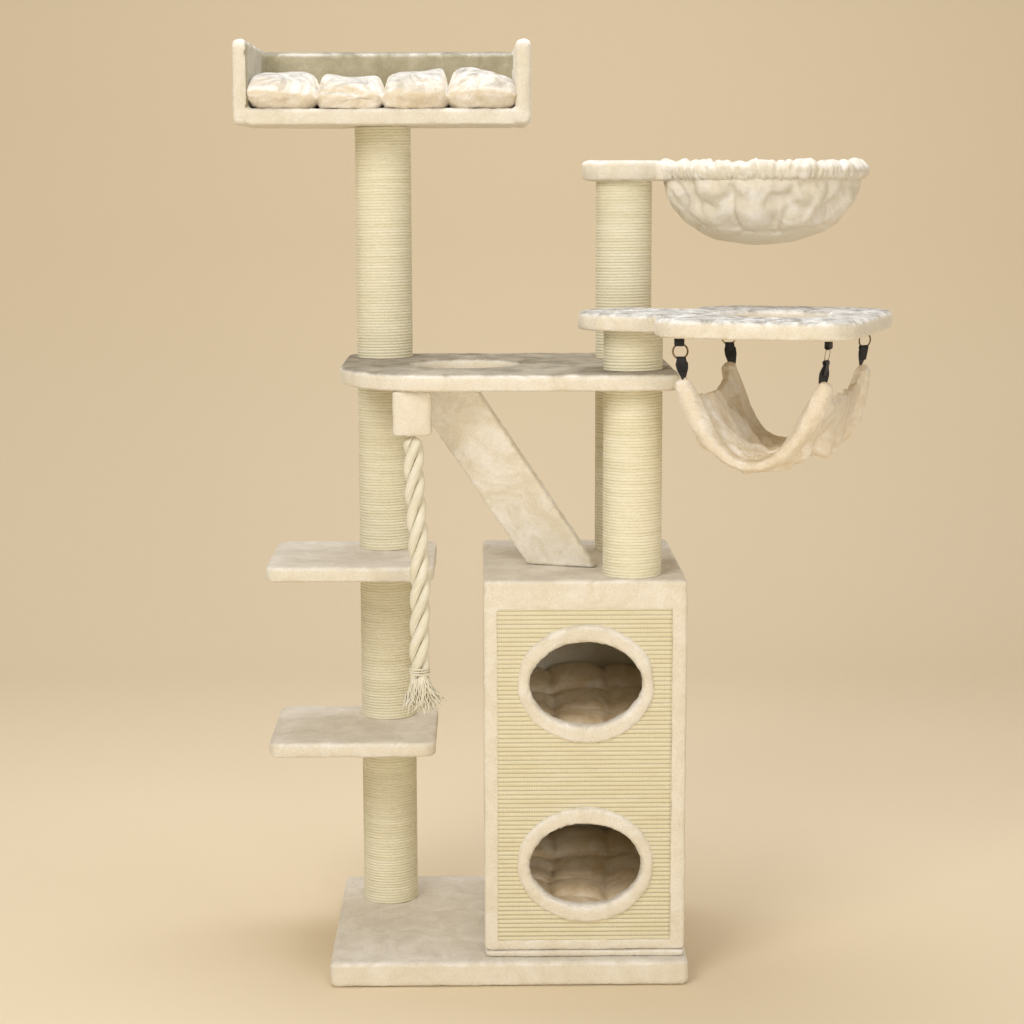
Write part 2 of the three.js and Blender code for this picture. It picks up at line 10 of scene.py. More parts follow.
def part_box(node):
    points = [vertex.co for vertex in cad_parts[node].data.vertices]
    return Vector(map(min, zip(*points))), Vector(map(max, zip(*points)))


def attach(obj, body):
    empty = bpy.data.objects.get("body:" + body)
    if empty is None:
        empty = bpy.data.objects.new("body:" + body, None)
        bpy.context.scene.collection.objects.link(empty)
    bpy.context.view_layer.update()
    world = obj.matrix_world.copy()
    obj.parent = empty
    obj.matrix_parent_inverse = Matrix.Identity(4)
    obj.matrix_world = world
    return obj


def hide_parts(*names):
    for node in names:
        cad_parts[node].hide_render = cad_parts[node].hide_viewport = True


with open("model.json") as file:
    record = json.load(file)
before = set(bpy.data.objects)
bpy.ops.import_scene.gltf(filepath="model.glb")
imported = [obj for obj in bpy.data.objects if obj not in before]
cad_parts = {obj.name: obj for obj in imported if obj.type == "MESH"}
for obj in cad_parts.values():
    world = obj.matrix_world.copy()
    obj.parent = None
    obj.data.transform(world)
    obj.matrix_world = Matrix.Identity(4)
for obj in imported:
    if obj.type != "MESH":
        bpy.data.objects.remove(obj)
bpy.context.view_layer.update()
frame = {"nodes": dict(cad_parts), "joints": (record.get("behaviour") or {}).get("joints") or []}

scene = bpy.context.scene
nodes = frame["nodes"]

# ---------------------------------------------------------------- the studio
# A pale paper backdrop that sweeps up behind the tree, one big soft light over the left shoulder,
# a fill from the front right, a soft light from above, and a camera at eye height, a little left
# of the middle.


def linear(hex_colour):
    """An sRGB hex colour as the linear RGBA that a shader works in."""
    parts = [int(hex_colour[i:i + 2], 16) / 255 for i in (1, 3, 5)]
    return [c / 12.92 if c <= 0.04045 else ((c + 0.055) / 1.055) ** 2.4 for c in parts] + [1]


def add(tree, kind, settings={}, links={}):
    """Adds a shader node: settings are its sockets or its own properties, links its incoming sockets."""
    made = tree.nodes.new("ShaderNode" + kind)
    for key, value in settings.items():
        if isinstance(key, int) or key in made.inputs:
            made.inputs[key].default_value = value
        else:
            setattr(made, key, value)
    for key, source in links.items():
        tree.links.new(source, made.inputs[key])
    return made


def material(name):
    """An empty material and its node tree."""
    made = bpy.data.materials.new(name)
    made.use_nodes = True
    made.node_tree.nodes.clear()
    return made, made.node_tree


def end_in_surface(tree, settings, links={}):
    """Ends a material in one principled surface."""
    shade = add(tree, "BsdfPrincipled", settings, links)
    add(tree, "OutputMaterial", {}, {"Surface": shade.outputs["BSDF"]})


def link_object(name, data):
    """Puts new data into the scene as an object."""
    made = bpy.data.objects.new(name, data)
    scene.collection.objects.link(made)
    return made


def shade_smooth(mesh):
    """Shades every face of a mesh smooth."""
    mesh.polygons.foreach_set("use_smooth", [True] * len(mesh.polygons))


def from_bmesh(name, bm):
    """Turns a finished bmesh into a piece at the origin."""
    mesh = bpy.data.meshes.new(name)
    bm.to_mesh(mesh)
    bm.free()
    shade_smooth(mesh)
    return link_object(name, mesh)


PAPER = "#e2d3b7"
paper, tree = material("backdrop_paper")
end_in_surface(tree, {"Base Color": linear(PAPER), "Roughness": 0.9})

sweep_y, sweep_r, half_width, front_y, wall_top = 2.6, 1.4, 9.0, -7.0, 7.0
paper_z = -0.001  # just under the floor's own level, so that nothing lies in one plane with it
bm = bmesh.new()
edge = [bm.verts.new((-half_width, y, paper_z)) for y in (front_y, sweep_y)]
bm.edges.new(edge)
bent = bmesh.ops.spin(bm, geom=[edge[1]], cent=(0, sweep_y, sweep_r), axis=(1, 0, 0),
                      angle=math.pi / 2, steps=16)
last = [v for v in bent["geom_last"] if isinstance(v, bmesh.types.BMVert)][0]
bm.edges.new((last, bm.verts.new((-half_width, last.co.y, wall_top))))
wide = bmesh.ops.extrude_edge_only(bm, edges=bm.edges[:])
bmesh.ops.translate(bm, vec=(2 * half_width, 0, 0),
                    verts=[v for v in wide["geom"] if isinstance(v, bmesh.types.BMVert)])
bmesh.ops.recalc_face_normals(bm, faces=bm.faces)
backdrop = from_bmesh("backdrop", bm)
backdrop.data.materials.append(paper)

world = bpy.data.worlds.new("studio_air")
scene.world = world
world.use_nodes = True
world.node_tree.nodes["Background"].inputs["Color"].default_value = linear("#fff6ea")
world.node_tree.nodes["Background"].inputs["Strength"].default_value = 0.5


def softbox(name, place, target, size, power, colour, spread=math.pi):
    """A rectangular soft light aimed at a target; a smaller spread narrows its beam."""
    lamp = bpy.data.lights.new(name, "AREA")
    lamp.spread = spread
    lamp.shape = "RECTANGLE"
    lamp.size, lamp.size_y = size
    lamp.energy = power
    lamp.color = linear(colour)[:3]
    box = link_object(name, lamp)
    box.location = place
    box.rotation_euler = (Vector(target) - Vector(place)).to_track_quat("-Z", "Y").to_euler()


softbox("key_light", (-1.9, -3.4, 3.6), (0, 0, 1.0), (2.0, 2.0), 91, "#fffaf2")
softbox("fill_light", (1.5, -4.2, 1.25), (0.15, 0, 0.7), (1.8, 1.4), 43, "#fff8ee")
softbox("top_light", (0.2, 0.5, 4.2), (0.1, 0, 0), (2.6, 2.2), 94, "#f4f7ff")

PITCH, YAW, ROLL, FOCAL, SENSOR = 0.1509, 0.0144, -0.0025, 77.35, 36
lens = bpy.data.cameras.new("camera")
lens.lens, lens.sensor_width = FOCAL, SENSOR
camera = link_object("camera", lens)
forward = Vector((math.sin(YAW) * math.cos(PITCH), math.cos(YAW) * math.cos(PITCH), -math.sin(PITCH)))
right = forward.cross(Vector((0, 0, 1))).normalized()
up = right.cross(forward)
right_r = math.cos(ROLL) * right + math.sin(ROLL) * up
up_r = math.cos(ROLL) * up - math.sin(ROLL) * right
camera.matrix_world = Matrix((right_r, up_r, -forward)).transposed().to_4x4()
camera.location = (-0.0548, -4.5988, 1.6396)
scene.camera = camera
scene.view_settings.view_transform = "Standard"

# ---------------------------------------------------------------- the plush
# Every board is chipboard wrapped in short cream plush, stapled underneath. The pile rounds the
# edges, lies in brushed patches of paler and greyer pile, and is never flat. Faces that look up are
# painted greyer than the sides as painted light from above, and the edges take a painted highlight.


def bake(obj):
    """Applies the piece's modifiers."""
    seen = obj.evaluated_get(bpy.context.evaluated_depsgraph_get())
    mesh = bpy.data.meshes.new_from_object(seen)
    obj.modifiers.clear()
    old, obj.data = obj.data, mesh
    bpy.data.meshes.remove(old)


def read_points(mesh, what="co"):
    """Every point of a mesh, or its normal, as one row of an array."""
    values = np.empty(3 * len(mesh.vertices), np.float32)
    source = mesh.vertex_normals if what == "normal" else mesh.vertices
    source.foreach_get("vector" if what == "normal" else "co", values)
    return values.reshape(-1, 3)


def write_points(mesh, points):
    """Moves every point of a mesh to its row of an array."""
    mesh.vertices.foreach_set("co", np.asarray(points, np.float32).ravel())
    mesh.update()


SEED_STEP = 17.3  # how far apart two seeds read the noise, in lumps


def lumps(points, size, seed):
    """Smooth noise of about one lump per size metres, from -1 to 1, at each point."""
    scaled = np.asarray(points, float) / size + SEED_STEP * seed
    return np.array([noise.noise(Vector(p)) for p in scaled])


def ruffle(obj, waves, seed=1):
    """Pushes the surface in and out along its normals; waves are (lump size, height) in metres."""
    points = read_points(obj.data)
    normals = read_points(obj.data, "normal")
    push = sum(lumps(points, size, seed + i) * high for i, (size, high) in enumerate(waves))
    write_points(obj.data, points + normals * np.asarray(push)[:, None])


def joined(name, boards):
    """A merged copy of one or more CAD solids, as a new piece."""
    bm = bmesh.new()
    for board in boards:
        bm.from_mesh(nodes[board].data)
    bmesh.ops.remove_doubles(bm, verts=bm.verts, dist=1e-5)
    return from_bmesh(name, bm)


def remeshed(obj, voxel, rounds=0):
    """Rebuilds a piece from small even faces, and blurs its edges round."""
    remesh = obj.modifiers.new("fine", "REMESH")
    remesh.mode, remesh.voxel_size = "VOXEL", voxel
    if rounds:
        blur = obj.modifiers.new("soft", "SMOOTH")
        blur.factor, blur.iterations = 0.5, rounds
    bake(obj)


PILE = ((0.0065, 0.0010), (0.014, 0.0008), (0.05, 0.0010))  # waves of the pile: (lump size, height)


def skin(obj, voxel, seed, waves=PILE):
    """Grows a fine, softly rounded, ruffled pile surface over a solid."""
    remeshed(obj, voxel, rounds=1)
    ruffle(obj, waves, seed)
    shade_smooth(obj.data)


def two_tone(tree, source, low, high):
    """A ramp between two colours, each given by its place on the ramp and its hex colour."""
    ramp = add(tree, "ValToRGB", {}, {0: source})
    for stop, (place, colour) in zip(ramp.color_ramp.elements, (low, high)):
        stop.position, stop.color = place, linear(colour)
    return ramp.outputs[0]


def multiplied(tree, colour, shade):
    """A colour times a shade."""
    return add(tree, "Mix", {"data_type": "RGBA", "blend_type": "MULTIPLY", 0: 1.0},
               {6: colour, 7: shade}).outputs[2]


plush, tree = material("cream_plush")
where = add(tree, "TexCoord").outputs["Object"]
facing = add(tree, "NewGeometry").outputs["Normal"]
up_part = add(tree, "SeparateXYZ", {}, {0: facing}).outputs["Z"]
topness = add(tree, "MapRange", {"From Min": 0.25, "From Max": 0.95}, {"Value": up_part}).outputs[0]
warp = add(tree, "TexNoise", {"Scale": 9, "Detail": 2}, {"Vector": where})
bend = add(tree, "VectorMath", {"operation": "MULTIPLY_ADD", 1: (0.12, 0.12, 0.12)},
           {0: warp.outputs["Color"], 2: where}).outputs[0]
# Brushed patches 40 to 80 mm wide with ragged ends, and clumps of pile 4 mm wide, drawn coarse to show.
brushed = add(tree, "TexNoise",
              {"name": "brushed", "Scale": 17, "Detail": 7, "Roughness": 0.62, "Distortion": 0.5},
              {"Vector": bend}).outputs["Fac"]
clumps = add(tree, "TexNoise", {"Scale": 300, "Detail": 4, "Roughness": 0.75},
             {"Vector": where}).outputs["Fac"]
streaks = two_tone(tree, brushed, (0.37, "#000000"), (0.65, "#ffffff"))
side = add(tree, "Mix", {"data_type": "RGBA", "name": "side", 6: linear("#e3dbc7"), 7: linear("#ece6d8")},
           {0: streaks}).outputs[2]
# Painted light: faces that look up take these greyer, cooler colours in place of the sides', for the light
# from above.
top = add(tree, "Mix", {"data_type": "RGBA", "name": "top", 6: linear("#d6cfc2"), 7: linear("#e9e4da")},
          {0: streaks}).outputs[2]
pile_colour = add(tree, "Mix", {"data_type": "RGBA"}, {0: topness, 6: side, 7: top}).outputs[2]
# Painted highlight: along a board's edges, where a face leans half way between side and top, the colour
# turns near white in ragged patches, for pile that stands away from the board and catches the light.
levelness = add(tree, "Math", {"operation": "ABSOLUTE"}, {0: up_part}).outputs[0]
edge = add(tree, "ValToRGB", {}, {0: levelness})
edge.color_ramp.elements[0].position = 0.12
edge.color_ramp.elements[1].position = 0.88
edge.color_ramp.elements[1].color = (0, 0, 0, 1)
edge.color_ramp.elements.new(0.48).color = (1, 1, 1, 1)
ragged = add(tree, "MapRange", {"From Min": 0.42, "From Max": 0.62, "To Min": 0.08, "To Max": 0.6},
             {"Value": brushed}).outputs[0]
painted_edge_highlight = add(tree, "Math", {"operation": "MULTIPLY"}, {0: edge.outputs[0], 1: ragged}).outputs[0]
pile_colour = add(tree, "Mix", {"data_type": "RGBA", 7: linear("#fbfaf7")},
                  {0: painted_edge_highlight, 6: pile_colour}).outputs[2]
dark = add(tree, "MapRange", {"From Min": 0.3, "From Max": 0.62, "To Min": 0.88, "To Max": 1.04},
           {"Value": clumps}).outputs[0]
coloured = multiplied(tree, pile_colour, dark)
tufts = add(tree, "Bump", {"Strength": 0.55, "Distance": 0.0022}, {"Height": clumps}).outputs[0]
lay = add(tree, "Bump", {"Strength": 0.35, "Distance": 0.006},
          {"Height": brushed, "Normal": tufts}).outputs[0]
end_in_surface(tree, {"Roughness": 0.92, "Sheen Weight": 0.35, "Sheen Roughness": 0.35,
                      "Sheen Tint": linear("#f3f0ec"), "Specular IOR Level": 0.2},
               {"Base Color": coloured, "Normal": lay})


def plush_recoloured(name, sides, tops):
    """The same plush in other colours for its sides and tops, mostly to paint light and shade into a piece.
    """
    made = plush.copy()
    made.name = name
    for part, (darker_colour, paler_colour) in (("side", sides), ("top", tops)):
        made.node_tree.nodes[part].inputs[6].default_value = linear(darker_colour)
        made.node_tree.nodes[part].inputs[7].default_value = linear(paler_colour)
    return made


# Copies of the plush in other colours, most of them with painted light and shade, noted one by one.
# Painted light and shade: strong grey and white streaks on the tops, for the pile's sheen and shade under a
# grazing light, over its own brushed patches.
streaked_plush = plush_recoloured("cream_plush_streaked", ("#e3dbc7", "#ece6d8"), ("#88847b", "#eae9e5"))
# Painted shade: darker tops, for a platform whose top lies in shade.
painted_shade_top_plush = plush_recoloured("cream_plush_top_painted_shade", ("#e3dbc7", "#ece6d8"), ("#7f7764", "#b7af9d"))
# Painted shade: darker sides and tops, for faces inside the bed's tray that lie in shade.
shaded_plush = plush_recoloured("cream_plush_painted_shade", ("#a29a7f", "#b9b198"), ("#7f7a6c", "#9d9786"))
nest_plush = plush_recoloured("cream_plush_nest", ("#dcc59f", "#ebdabb"), ("#d2bd98", "#ecdec6"))
# Painted light and shade: grey and white streaks on the cushion's tops, as on the streaked copy, over the
# pile's own patches.
cushion_plush = plush_recoloured("cream_plush_cushion", ("#e0d3ba", "#ece2cf"), ("#a29d92", "#e2dfd8"))
# Warm plush whose browner, darker tops are painted shade for the inside of the hammock's sling.
hammock_plush = plush_recoloured("cream_plush_warm_painted_shade", ("#e0d3bb", "#ebe2d0"), ("#c8b592", "#e0d0b4"))
for variant, patch in ((streaked_plush, 30), (cushion_plush, 30), (painted_shade_top_plush, 12)):
    variant.node_tree.nodes["brushed"].inputs["Scale"].default_value = patch


def finish_piece(obj, surface, body="frame", replaced=()):
    """Gives a piece its material, slot and body, and hides the CAD solids it stands for."""
    obj.data.materials.clear()
    obj.data.materials.append(surface)
    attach(obj, body)
    if replaced:
        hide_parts(*replaced)
    return obj


def plush_cover(name, boards, voxel, seed, surface=plush, waves=PILE):
    """One plush cover over a board, or over boards whose covers run on without a gap."""
    made = joined(name, boards)
    skin(made, voxel, seed, waves)
    return finish_piece(made, surface, replaced=boards)


def plush_board(node, voxel, **look):
    """A board in a plush cover of its own."""
    return plush_cover(node + "_plush", [node], voxel, len(node), **look)


# ---------------------------------------------------------------- the base
# One thick board under the whole tree. The left post is bolted to it from below.
plush_board("base_board", voxel=0.0065)

# ---------------------------------------------------------------- the posts
# Cardboard tubes wound tightly with sisal cord, each turn lying on the last, and glued. Threaded
# studs join post to post through the boards.

CORD = 0.0062  # the height of one turn of the winding
ROUND_STEPS = 48
TURN_SHAPE = ((0.0, 0.0028), (0.14, 0.0008), (0.5, 0.0), (0.86, 0.0008))  # (height in the turn, depth)
END_GAP = 0.0003  # between the winding's ends and the boards

sisal, tree = material("wound_sisal_cord")
where = add(tree, "TexCoord").outputs["Object"]
turn = add(tree, "Mapping", {"Scale": (6, 6, 150)}, {"Vector": where}).outputs[0]
tint = add(tree, "TexNoise", {"Scale": 1, "Detail": 3, "Roughness": 0.6}, {"Vector": turn}).outputs["Fac"]
along = add(tree, "Mapping", {"Scale": (160, 160, 1500)}, {"Vector": where}).outputs[0]
fibre = add(tree, "TexNoise", {"Scale": 1, "Detail": 4, "Roughness": 0.65}, {"Vector": along}).outputs["Fac"]
colour = two_tone(tree, tint, (0.3, "#e9e3c5"), (0.68, "#f6f1da"))
strand = add(tree, "MapRange", {"From Min": 0.25, "From Max": 0.7, "To Min": 0.84, "To Max": 1.05},
             {"Value": fibre}).outputs[0]
mixed = multiplied(tree, colour, strand)
rough = add(tree, "Bump", {"Strength": 0.6, "Distance": 0.0012}, {"Height": fibre}).outputs[0]
end_in_surface(tree, {"Roughness": 0.82, "Sheen Weight": 0.15, "Specular IOR Level": 0.25},
               {"Base Color": mixed, "Normal": rough})


def wound_post(node):
    """A post whose cord is one long helix, cut flat where the boards meet it."""
    low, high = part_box(node)
    cx, cy = (low.x + high.x) / 2, (low.y + high.y) / 2
    radius = (high.x - low.x) / 2
    bm = bmesh.new()
    turns = math.ceil((high.z - low.z) / CORD) + 1
    line = [bm.verts.new((cx + radius - deep, cy, low.z + (turn - 1 + at) * CORD))
            for turn in range(turns) for at, deep in TURN_SHAPE]
    for a, b in zip(line, line[1:]):
        bm.edges.new((a, b))
    bmesh.ops.spin(bm, geom=bm.verts[:] + bm.edges[:], cent=(cx, cy, 0), axis=(0, 0, 1),
                   dvec=(0, 0, CORD / ROUND_STEPS), angle=2 * math.pi, steps=ROUND_STEPS)
    bmesh.ops.remove_doubles(bm, verts=bm.verts, dist=CORD / 40)
    for z, side in ((low.z + END_GAP, -1), (high.z - END_GAP, 1)):
        bmesh.ops.bisect_plane(bm, geom=bm.verts[:] + bm.edges[:] + bm.faces[:],
                               plane_co=(0, 0, z), plane_no=(0, 0, side), clear_outer=True)
        rim = [e for e in bm.edges if e.is_boundary and all(abs(v.co.z - z) < 1e-5 for v in e.verts)]
        bmesh.ops.edgeloop_fill(bm, edges=rim)
    bmesh.ops.recalc_face_normals(bm, faces=bm.faces)
    made = from_bmesh(node + "_winding", bm)
    return finish_piece(made, sisal, replaced=[node])


for post in [n for n in nodes if n.startswith("post_")]:
    wound_post(post)

zinc, tree = material("zinc_plated_steel")
where = add(tree, "TexCoord").outputs["Object"]
grain = add(tree, "TexNoise", {"Scale": 900, "Detail": 3}, {"Vector": where}).outputs["Fac"]
worn = add(tree, "MapRange", {"To Min": 0.28, "To Max": 0.5}, {"Value": grain}).outputs[0]
dent = add(tree, "Bump", {"Strength": 0.15, "Distance": 0.0003}, {"Height": grain}).outputs[0]
end_in_surface(tree, {"Base Color": linear("#b4b6b8"), "Metallic": 1.0},
               {"Roughness": worn, "Normal": dent})
for name in [n for n in nodes if n.startswith(("stud_", "bolt_"))]:
    nodes[name].data.materials.clear()
    nodes[name].data.materials.append(zinc)

# ---------------------------------------------------------------- the cabin
# Two storeys of plush-covered board, covered on both faces, with a shelf between them. The front
# wears a ribbed scratching mat, and a rolled plush sleeve is sewn round each oval doorway.
for panel in ("house_floor", "house_shelf", "house_side_left", "house_side_right", "house_back"):
    plush_board(panel, voxel=0.0065)
plush_cover("house_front_and_roof_plush", ["house_front", "house_roof"], 0.0055, seed=6)

SLEEVE_WAVES = ((0.006, 0.0018), (0.013, 0.0012), (0.04, 0.0026))
for rim in ("door_rim_low", "door_rim_high"):
    roll = plush_board(rim, voxel=0.004, waves=SLEEVE_WAVES)

RIB = 0.00907  # one thick weft cord of the mat and the gap beside it
RIB_ROWS, MAT_CELL = 6, 0.007  # rows of faces in a rib, and the width of a face
MAT_THICK, RIB_HIGH, RIB_UNEVEN = 0.0012, 0.0032, 0.0006
WARP_PITCH = 0.0035

sisal_mat, tree = material("woven_sisal_mat")
where = add(tree, "TexCoord").outputs["Object"]
across = add(tree, "SeparateXYZ", {}, {0: where})
thread = add(tree, "Math", {"operation": "SINE"},
             {0: add(tree, "Math", {"operation": "MULTIPLY", 1: 2 * math.pi / WARP_PITCH},
                     {0: across.outputs["X"]}).outputs[0]}).outputs[0]
lengthwise = add(tree, "Mapping", {"Scale": (14, 14, 110)}, {"Vector": where}).outputs[0]
blotch = add(tree, "TexNoise", {"Scale": 1, "Detail": 4, "Roughness": 0.6},
             {"Vector": lengthwise}).outputs["Fac"]
fine = add(tree, "TexNoise", {"Scale": 700, "Detail": 3, "Roughness": 0.7},
           {"Vector": where}).outputs["Fac"]
colour = two_tone(tree, blotch, (0.3, "#e4dbb9"), (0.7, "#ebe4c9"))
worn = add(tree, "MapRange", {"From Min": 0.3, "From Max": 0.7, "To Min": 0.86, "To Max": 1.05},
           {"Value": fine}).outputs[0]
mixed = multiplied(tree, colour, worn)
# The groove between two ribs is in shade, and the warp threads that cross it show as dots.
mat_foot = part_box("house_mat")[0].z
rib_turn = add(tree, "Math", {"operation": "MULTIPLY_ADD", 1: math.pi / RIB, 2: -mat_foot * math.pi / RIB},
               {0: across.outputs["Z"]}).outputs[0]
rib = add(tree, "Math", {"operation": "ABSOLUTE"},
          {0: add(tree, "Math", {"operation": "SINE"}, {0: rib_turn}).outputs[0]}).outputs[0]
dotted = add(tree, "Math", {"operation": "MULTIPLY_ADD", 1: 0.10}, {0: thread, 2: rib}).outputs[0]
groove = add(tree, "MapRange", {"From Min": 0.10, "From Max": 0.55, "To Min": 0.62, "To Max": 1.0},
             {"Value": dotted}).outputs[0]
mixed = multiplied(tree, mixed, groove)
knots = add(tree, "Bump", {"Strength": 0.35, "Distance": 0.0006}, {"Height": thread}).outputs[0]
hairs = add(tree, "Bump", {"Strength": 0.5, "Distance": 0.0008},
            {"Height": fine, "Normal": knots}).outputs[0]
end_in_surface(tree, {"Roughness": 0.85, "Specular IOR Level": 0.25},
               {"Base Color": mixed, "Normal": hairs})

low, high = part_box("house_mat")
span = high - low
doors = [sum(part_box(rim), Vector()) / 2 for rim in ("door_rim_low", "door_rim_high")]
bm = bmesh.new()
bmesh.ops.create_grid(bm, x_segments=round(span.x / MAT_CELL), y_segments=round(span.z / RIB * RIB_ROWS),
                      size=0.5)
bmesh.ops.rotate(bm, matrix=Matrix.Rotation(math.pi / 2, 3, "X"), verts=bm.verts)
for v in bm.verts:
    v.co = (low.x + (v.co.x + 0.5) * span.x, 0, low.z + (v.co.z + 0.5) * span.z)
    rise = abs(math.sin(math.pi * (v.co.z - low.z) / RIB)) ** 0.45
    v.co.y = high.y - MAT_THICK - RIB_HIGH * rise - RIB_UNEVEN * noise.noise(v.co * 60)

# The mat's oval holes end inside the sleeves, so that no edge of the mat shows.
MAT_HOLE_HALF_W, MAT_HOLE_HALF_H = 0.114 + 0.012, 0.086 + 0.018


def in_sleeve(point):
    """Whether a point of the mat lies inside the middle of a doorway's sleeve."""
    return any(((point.x - door.x) / MAT_HOLE_HALF_W) ** 2
               + ((point.z - door.z) / MAT_HOLE_HALF_H) ** 2 < 1 for door in doors)


hidden = [f for f in bm.faces if in_sleeve(f.calc_center_median())]
bmesh.ops.delete(bm, geom=hidden, context="FACES")
bmesh.ops.solidify(bm, geom=bm.faces[:], thickness=-MAT_THICK)
mat = from_bmesh("house_mat_ribs", bm)
finish_piece(mat, sisal_mat, replaced=["house_mat"])

# ---------------------------------------------------------------- stuffed cushions
# Each is a plush case with sewn channels, stuffed through the end and closed. The cloth is cut a
# little larger than its stuffing, so it puckers at the seams and wrinkles on top.


SETTLE_FRAMES = 20
CLOTH_STIFF = 12.0


def simulate(obj, bend, grow, pressure=0.0, gravity=0.0, pins=None):
    """Lets a cloth piece settle, and keeps where it came to. Cloth grows by the fraction grow."""
    cloth = obj.modifiers.new("cloth", "CLOTH")
    rule = cloth.settings
    rule.quality = 6
    rule.mass = 0.25
    rule.air_damping = 3.0
    rule.tension_stiffness = rule.compression_stiffness = CLOTH_STIFF
    rule.shear_stiffness = CLOTH_STIFF / 2
    rule.bending_stiffness = bend
    rule.effector_weights.gravity = gravity
    rule.shrink_min = -grow
    if pressure:
        rule.use_pressure = True
        rule.uniform_pressure_force = pressure
    if pins:
        rule.vertex_group_mass = pins
        rule.pin_stiffness = 1.0
    cloth.collision_settings.use_collision = False
    cloth.point_cache.frame_end = SETTLE_FRAMES
    for now in range(1, SETTLE_FRAMES + 1):
        scene.frame_set(now)
    bake(obj)
    scene.frame_set(1)


def capped(obj, before, most):
    """Keeps every point within a distance of where it started."""
    points = read_points(obj.data)
    moved = points - before
    far = np.linalg.norm(moved, axis=1, keepdims=True)
    write_points(obj.data, before + moved * np.minimum(1, most / np.maximum(far, 1e-9)))


COLUMNS, ROWS = 14, 12  # faces in a puff before it is remeshed
HEM_THICK, ROUNDNESS = 0.1, 0.42
CASE_VOXEL = 0.006


def puffs(name, low, high, across, deep, shape, neck=HEM_THICK):
    """A case of across by deep puffs in a box, meeting in channels of a thickness neck, to be stuffed."""
    size = high - low
    bm = bmesh.new()
    bmesh.ops.create_grid(bm, x_segments=COLUMNS * across, y_segments=ROWS * deep, size=0.5)
    for v in bm.verts:
        u, w = v.co.x + 0.5, v.co.y + 0.5
        v.co = (low.x + u * size.x, low.y + w * size.y, 0)
        full = 1.0
        for place, count, square in ((u, across, 4), (w, deep, 4 if deep > 1 else 2.2)):
            off = abs(2 * ((place * count) % 1.0 if 0 < place < 1 else 0.0) - 1)
            full *= max(0.0, 1 - off ** square) ** ROUNDNESS
        at_hem = min(u, 1 - u, w, 1 - w) < 0.001
        v.co.z = size.z / 2 * (HEM_THICK if at_hem else neck + (1 - neck) * full)
    under = bmesh.ops.duplicate(bm, geom=bm.verts[:] + bm.edges[:] + bm.faces[:])
    bottom = [g for g in under["geom"] if isinstance(g, bmesh.types.BMVert)]
    bmesh.ops.scale(bm, vec=(1, 1, -1), verts=bottom)
    hem = [e for e in bm.edges if e.is_boundary]
    bmesh.ops.bridge_loops(bm, edges=hem)
    bmesh.ops.recalc_face_normals(bm, faces=bm.faces)
    for v in bm.verts:
        x, y, z = v.co
        v.co.z = low.z + size.z / 2 + z
        v.co = shape(v.co, (x - low.x) / size.x, (y - low.y) / size.y)
    made = from_bmesh(name, bm)
    remeshed(made, CASE_VOXEL)
    return made


def subdivided(obj):
    """One round of subdivision, shaded smooth."""
    finer = obj.modifiers.new("finer", "SUBSURF")
    finer.levels = finer.render_levels = 1
    bake(obj)
    shade_smooth(obj.data)


def settled(obj, most, **forces):
    """Simulates a piece, but lets no point move further than most."""
    before = read_points(obj.data)
    simulate(obj, **forces)
    capped(obj, before, most)


def stuff(obj, grow):
    """Stuffs a case, so that its cloth swells and wrinkles."""
    settled(obj, 0.018, bend=0.15, grow=grow, pressure=3.0)
    subdivided(obj)


FLOOR_GAP = 0.0004  # between a cushion and the board it lies on


def rest_on(obj, level):
    """Flattens what lies below a level onto it."""
    points = read_points(obj.data)
    points[:, 2] = np.maximum(points[:, 2], level)
    write_points(obj.data, points)


# A narrow warm light over each doorway shows the cushion behind it.
climb = 0.046  # how far the back row stands up against the back panel
for storey, door in zip(("low", "high"), doors):
    low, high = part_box("cushion_" + storey)
    softbox("nest_light_" + storey, (door.x, -0.17, door.z + 0.13), (door.x, -0.10, door.z - 0.12),
            (0.2, 0.05), 0.06, "#ffedd2", spread=1.7)

    def tucked(at, u, w):
        """The back row climbs the back panel, and all the rows wave a little."""
        rise = min(1.0, max(0.0, (w - 0.6) / 0.32))
        at.z += climb * rise * rise * (3 - 2 * rise) - 0.006 * math.sin(5.1 * u + 4 * w + len(storey))
        at.x += 0.008 * math.sin(6 * w + len(storey))
        return at

    cushion = puffs("cushion_" + storey + "_plush", low + Vector((0.01, 0.004, 0.0)),
                    Vector((high.x - 0.01, high.y - 0.004, high.z - climb)), 3, 4, tucked)
    stuff(cushion, grow=0.14)
    rest_on(cushion, low.z + FLOOR_GAP)
    ruffle(cushion, ((0.012, 0.0008), (0.03, 0.0012)), seed=7)
    finish_piece(cushion, nest_plush, replaced=["cushion_" + storey])

# ---------------------------------------------------------------- steps, platform and ramp
# Plush-covered boards threaded on the studs. The ramp is one more board, cut level at both ends
# and screwed to the roof and under the platform beside its climbing hole.
for board in ("step_low", "step_high"):
    plush_board(board, voxel=0.0055)
# The platform's top takes the copy with painted shade.
plush_board("platform_mid", voxel=0.0055, surface=painted_shade_top_plush)
plush_board("ramp_board", voxel=0.005)

# ---------------------------------------------------------------- the lookout bed
# A tray bolted on the left post: a board between two thick padded sides, a padded back, and a
# long cushion of four puffs.
tray = plush_cover("bed_tray_plush", ["bed_floor", "bed_side_left", "bed_side_right", "bed_back"],
                   0.005, seed=8)
# Painted shade: the tray's inner back, the back's top edge and the inner left side take the darker copy.
tray.data.materials.append(shaded_plush)  # for the inner faces of the back and of the left side
back_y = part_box("bed_back")[0].y
inner_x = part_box("bed_side_left")[1].x
outer_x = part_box("bed_side_right")[0].x
floor_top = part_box("bed_floor")[1].z
